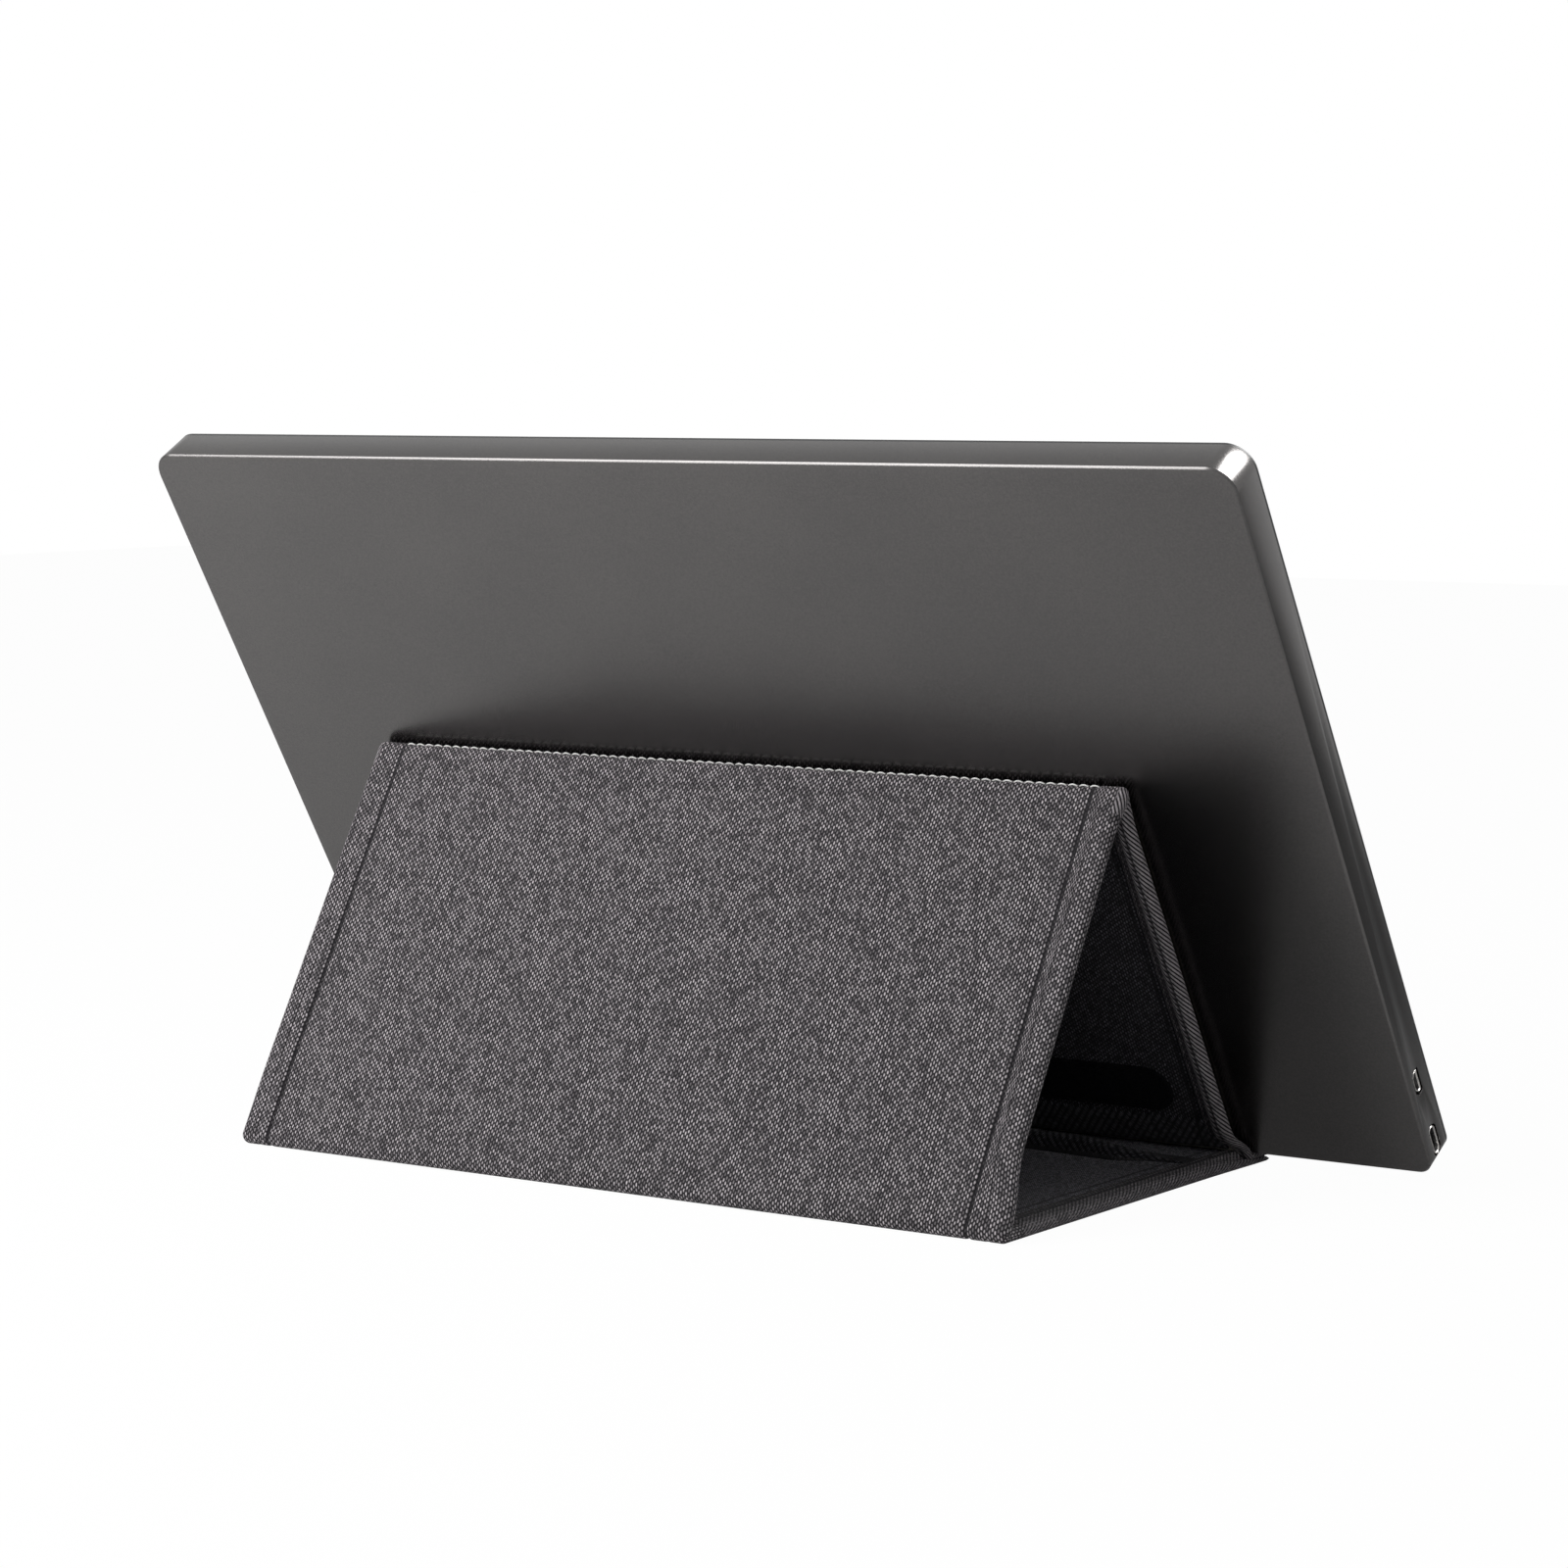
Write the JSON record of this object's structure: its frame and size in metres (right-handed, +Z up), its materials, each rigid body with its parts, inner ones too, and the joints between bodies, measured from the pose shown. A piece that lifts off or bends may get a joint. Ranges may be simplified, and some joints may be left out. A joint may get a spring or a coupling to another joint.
{
  "type": "portable monitor with cover",
  "caption": "Slim portable monitor leaning on a fabric cover folded into a three-sided stand, with side ports, side keys and folding panels.",
  "frame": {"origin": "on the floor, at the middle of the bounding box's base; the monitor is centred on X = 0", "axes": "+X along the monitor's width, towards its keys; -Y is the side that the screen faces; +Z up"},
  "size_m": [0.3586, 0.142, 0.2033],
  "materials": {
    "fabric": "melange twill, light threads on charcoal",
    "lining": "dark twill",
    "stiffener": "plain pressed board",
    "hook_and_loop": "black pile",
    "thread": "spun thread",
    "shell": "satin gunmetal, fine grain",
    "bezel": "fine texture",
    "foam_tape": "foam",
    "screen": "anti-glare, switched off",
    "film": "satin film",
    "clear_acrylic": "polished",
    "led": "satin",
    "white_plastic": "satin",
    "steel": "zinc plated",
    "circuit_board": "solder mask",
    "chip": "moulded",
    "cable": "polyimide film",
    "port_metal": "bright plated",
    "button": "satin"
  },
  "bodies": {
    "base": {"base_outer_fabric": "fabric", "base_outer_board": "stiffener", "base_inner_board": "stiffener", "base_inner_fabric": "lining", "base_bindings": "fabric", "closure_lip": "fabric", "ribbed_strip": "hook_and_loop", "mouth_facing": "fabric", "rear_fold": "fabric"},
    "back_panel": {"back_outer_fabric": "fabric", "back_outer_board": "stiffener", "back_inner_board": "stiffener", "back_inner_fabric": "lining", "back_bindings": "fabric", "apex_fold": "fabric", "apex_stitching": "thread"},
    "front_panel": {"front_outer_fabric": "fabric", "front_outer_board": "stiffener", "front_inner_board": "stiffener", "front_inner_fabric": "lining", "front_bindings": "fabric", "loop_patch": "hook_and_loop", "mouth_hem": "lining"},
    "monitor": {"rear_shell": "shell", "front_bezel": "bezel", "bezel_tape": "foam_tape", "mounting_tape": "foam_tape", "lcd_cell": "screen", "optical_films": "film", "reflector_sheet": "film", "light_guide": "clear_acrylic", "led_strip": "led", "panel_frame": "white_plastic", "panel_back_plate": "steel", "shield_can": "steel", "rocker_pin": "steel", "board_screws": "steel", "driver_board": "circuit_board", "main_board": "circuit_board", "control_board": "circuit_board", "video_chip": "chip", "power_parts": "chip", "tact_switches": "chip", "rocker_bracket": "chip", "display_cable": "cable", "usb_c_port": "port_metal", "micro_hdmi_port": "port_metal", "far_usb_c_port": "port_metal"},
    "power_key": {"power_button": "button"},
    "menu_key": {"menu_button": "button"},
    "rocker_key": {"adjust_rocker": "button"}
  },
  "joints": [
    {"name": "rear_fold", "type": "hinge", "parent": "base", "child": "back_panel", "pos_m": [0.0051, 0.06841, 0.0026], "axis": [-1, 0, 0], "range_deg": [0, 120]},
    {"name": "apex_fold", "type": "hinge", "parent": "back_panel", "child": "front_panel", "pos_m": [0.0051, 0.00597, 0.10899], "axis": [-1, 0, 0], "range_deg": [0, 118]},
    {"name": "monitor_lift_off", "type": "slide", "parent": "front_panel", "child": "monitor", "axis": [0, -0.8572, 0.515], "range_m": [0, 0.06]},
    {"name": "power_press", "type": "slide", "parent": "monitor", "child": "power_key", "axis": [-1, 0, 0], "range_m": [0, 0.0004], "stiffness_N_per_m": 400},
    {"name": "menu_press", "type": "slide", "parent": "monitor", "child": "menu_key", "axis": [-1, 0, 0], "range_m": [0, 0.0004], "stiffness_N_per_m": 400},
    {"name": "rocker_tilt", "type": "hinge", "parent": "monitor", "child": "rocker_key", "pos_m": [0.17705, -0.02861, 0.06678], "axis": [0, -0.8572, 0.515], "range_deg": [-3, 3], "stiffness_Nm_per_rad": 0.02}
  ]
}
